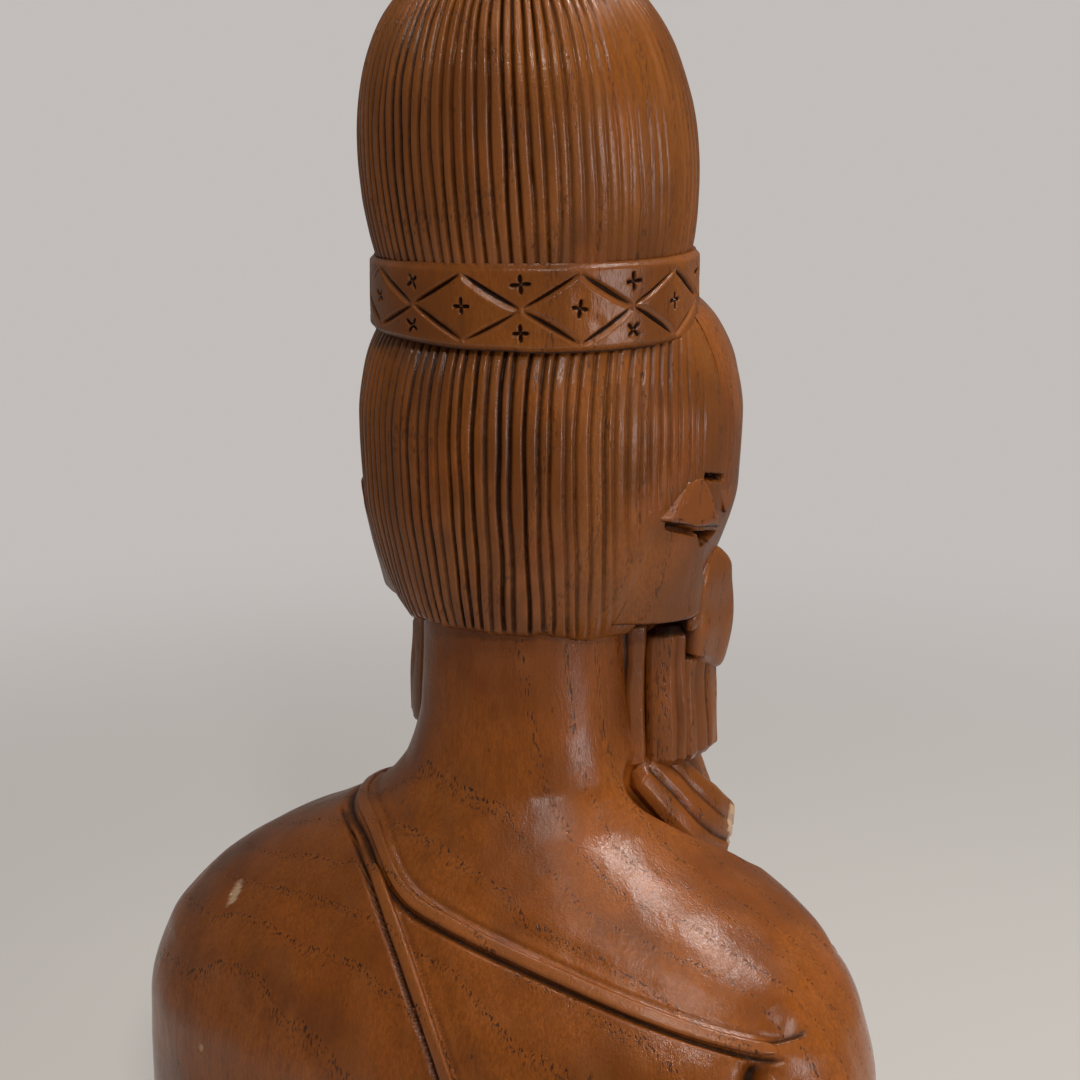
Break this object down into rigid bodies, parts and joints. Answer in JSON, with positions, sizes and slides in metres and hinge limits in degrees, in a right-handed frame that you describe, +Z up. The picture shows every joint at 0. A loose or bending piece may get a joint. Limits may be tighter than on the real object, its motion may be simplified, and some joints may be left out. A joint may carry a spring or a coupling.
{
  "type": "carved wooden figure bust",
  "caption": "Free-standing carved wooden bust of a bearded elder with a tall ribbed topknot, a chip-carved headband and a robe draped over the left shoulder.",
  "frame": {"origin": "on the flat base, under the neck's axis", "axes": "+Z up through the topknot, -Y the way the face looks, -X the figure's right hand"},
  "size_m": [0.1352, 0.0975, 0.2365],
  "materials": {
    "skin_wood": "stained and satin varnished, fine pores and grain",
    "robe_wood": "stained and satin varnished, fine pores and grain",
    "hair_wood": "gouge-ribbed, dark stain left in the grooves, satin varnish",
    "band_wood": "chip carved, satin varnish",
    "beard_wood": "knife carved, satin varnish"
  },
  "bodies": {
    "root": {"torso": "skin_wood", "robe": "robe_wood", "arm_right": "skin_wood", "hem_sash": "robe_wood", "hem_fold": "robe_wood", "neck": "skin_wood", "hair_cap": "hair_wood", "headband": "band_wood", "topknot": "hair_wood", "face": "skin_wood", "nose": "skin_wood", "mouth": "skin_wood", "beard_core": "beard_wood", "brow_left": "beard_wood", "eyelid_left": "skin_wood", "ear_left": "skin_wood", "sideburn_left": "skin_wood", "moustache_left": "beard_wood", "beard_lock_left_1": "beard_wood", "beard_lock_left_2": "beard_wood", "beard_lock_left_3": "beard_wood", "beard_lock_left_4": "beard_wood", "beard_lock_left_5": "beard_wood", "beard_lock_left_6": "beard_wood", "beard_strand_left_1": "beard_wood", "beard_strand_left_2": "beard_wood", "beard_strand_left_3": "beard_wood", "brow_right": "beard_wood", "eyelid_right": "skin_wood", "ear_right": "skin_wood", "sideburn_right": "skin_wood", "moustache_right": "beard_wood", "beard_lock_right_1": "beard_wood", "beard_lock_right_2": "beard_wood", "beard_lock_right_3": "beard_wood", "beard_lock_right_4": "beard_wood", "beard_lock_right_5": "beard_wood", "beard_lock_right_6": "beard_wood", "beard_strand_right_1": "beard_wood", "beard_strand_right_2": "beard_wood", "beard_strand_right_3": "beard_wood"}
  },
  "joints": []
}
